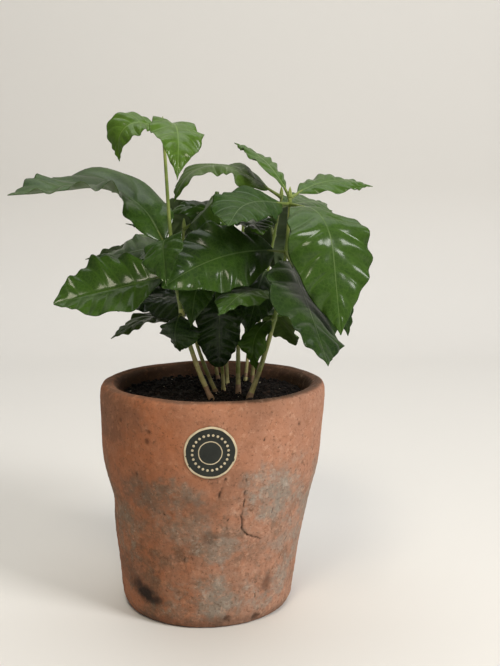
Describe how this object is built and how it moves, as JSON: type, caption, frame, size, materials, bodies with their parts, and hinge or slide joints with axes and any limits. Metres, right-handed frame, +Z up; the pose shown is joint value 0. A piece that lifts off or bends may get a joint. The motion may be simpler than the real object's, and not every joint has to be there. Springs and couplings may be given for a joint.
{
  "type": "potted coffee plant",
  "caption": "Young coffee seedlings with glossy, wavy leaves on slender leaning stems, sown together in a thick-walled, hand-made terracotta pot with a plain round label.",
  "frame": {"origin": "middle of the pot's flat underside", "axes": "+Z up the pot, +X to the right of the picture, and -Y towards its camera"},
  "size_m": [0.2135, 0.2216, 0.303],
  "materials": {
    "terracotta": "rough unglazed clay with pale lime bloom",
    "potting_mix": "dark moist crumbs",
    "label": "satin",
    "stem": "smooth green bark, tan towards the base",
    "leaf": "glossy wavy leaf"
  },
  "bodies": {
    "root": {"pot": "terracotta", "soil": "potting_mix", "label": "label", "left_stem": "stem", "left_lower_leaf_1": "leaf", "left_lower_leaf_2": "leaf", "left_lower_leaf_3": "leaf", "left_leaf_mass": "leaf", "left_twin_stem": "stem", "left_twin_leaf_mass": "leaf", "right_stem": "stem", "right_lower_leaf_1": "leaf", "right_lower_leaf_2": "leaf", "right_lower_leaf_3": "leaf", "right_lower_leaf_4": "leaf", "right_lower_leaf_5": "leaf", "right_lower_leaf_6": "leaf", "right_leaf_mass": "leaf", "short_front_stem": "stem", "short_front_leaf_mass": "leaf", "middle_back_stem": "stem", "middle_back_lower_leaf_1": "leaf", "middle_back_leaf_mass": "leaf", "middle_stem": "stem", "middle_lower_leaf_1": "leaf", "middle_leaf_mass": "leaf", "right_back_stem": "stem", "right_back_lower_leaf_1": "leaf", "right_back_lower_leaf_2": "leaf", "right_back_lower_leaf_3": "leaf", "right_back_leaf_mass": "leaf", "far_right_stem": "stem", "far_right_lower_leaf_1": "leaf", "far_right_lower_leaf_2": "leaf", "far_right_leaf_mass": "leaf", "far_left_stem": "stem", "far_left_lower_leaf_1": "leaf", "far_left_lower_leaf_2": "leaf", "far_left_lower_leaf_3": "leaf", "far_left_lower_leaf_4": "leaf", "far_left_leaf_mass": "leaf"}
  },
  "joints": []
}
